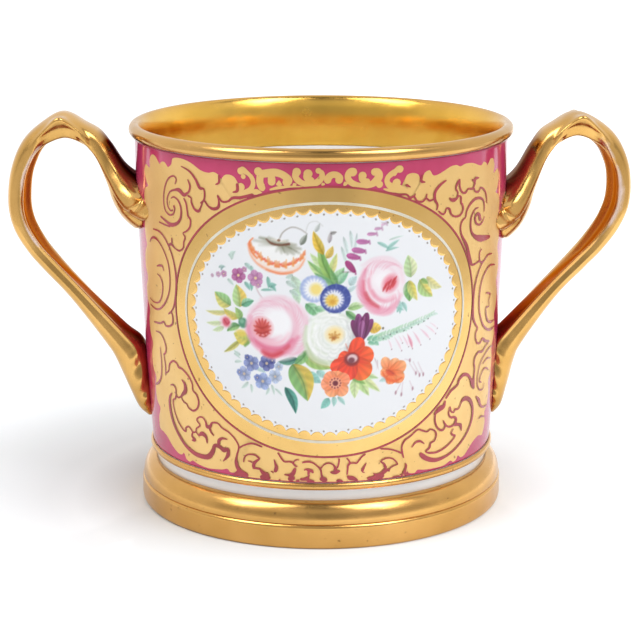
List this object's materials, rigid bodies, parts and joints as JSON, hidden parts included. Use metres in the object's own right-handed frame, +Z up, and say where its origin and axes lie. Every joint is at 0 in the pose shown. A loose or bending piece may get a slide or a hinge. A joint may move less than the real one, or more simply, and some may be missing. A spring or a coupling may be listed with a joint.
{
  "type": "loving cup",
  "caption": "Two-handled porcelain loving cup: tapered round body on a plinth foot, strap handles, crimson ground, gilt borders and oval flower panels.",
  "frame": {"origin": "on the table, under the middle of the foot", "axes": "+Z up along the axis of the cup, +X through the right handle, -Y towards the front panel"},
  "size_m": [0.2008, 0.1232, 0.1266],
  "materials": {
    "porcelain": "clear gloss glaze over white porcelain",
    "gilded_porcelain": "burnished gold over glazed porcelain, a little worn",
    "crimson_enamel": "glossy crimson ground enamel",
    "gilding": "burnished gold fired over the enamel",
    "flower_enamel": "thin glossy overglaze colours"
  },
  "bodies": {
    "root": {"cup_body": "porcelain", "plinth_foot": "porcelain", "left_handle": "gilded_porcelain", "right_handle": "gilded_porcelain", "ground_enamel": "crimson_enamel", "front_scroll_gilding": "gilding", "back_scroll_gilding": "gilding", "front_panel_frame": "gilding", "back_panel_frame": "gilding", "rim_gilding": "gilding", "bead_gilding": "gilding", "foot_gilding": "gilding"}
  },
  "joints": []
}
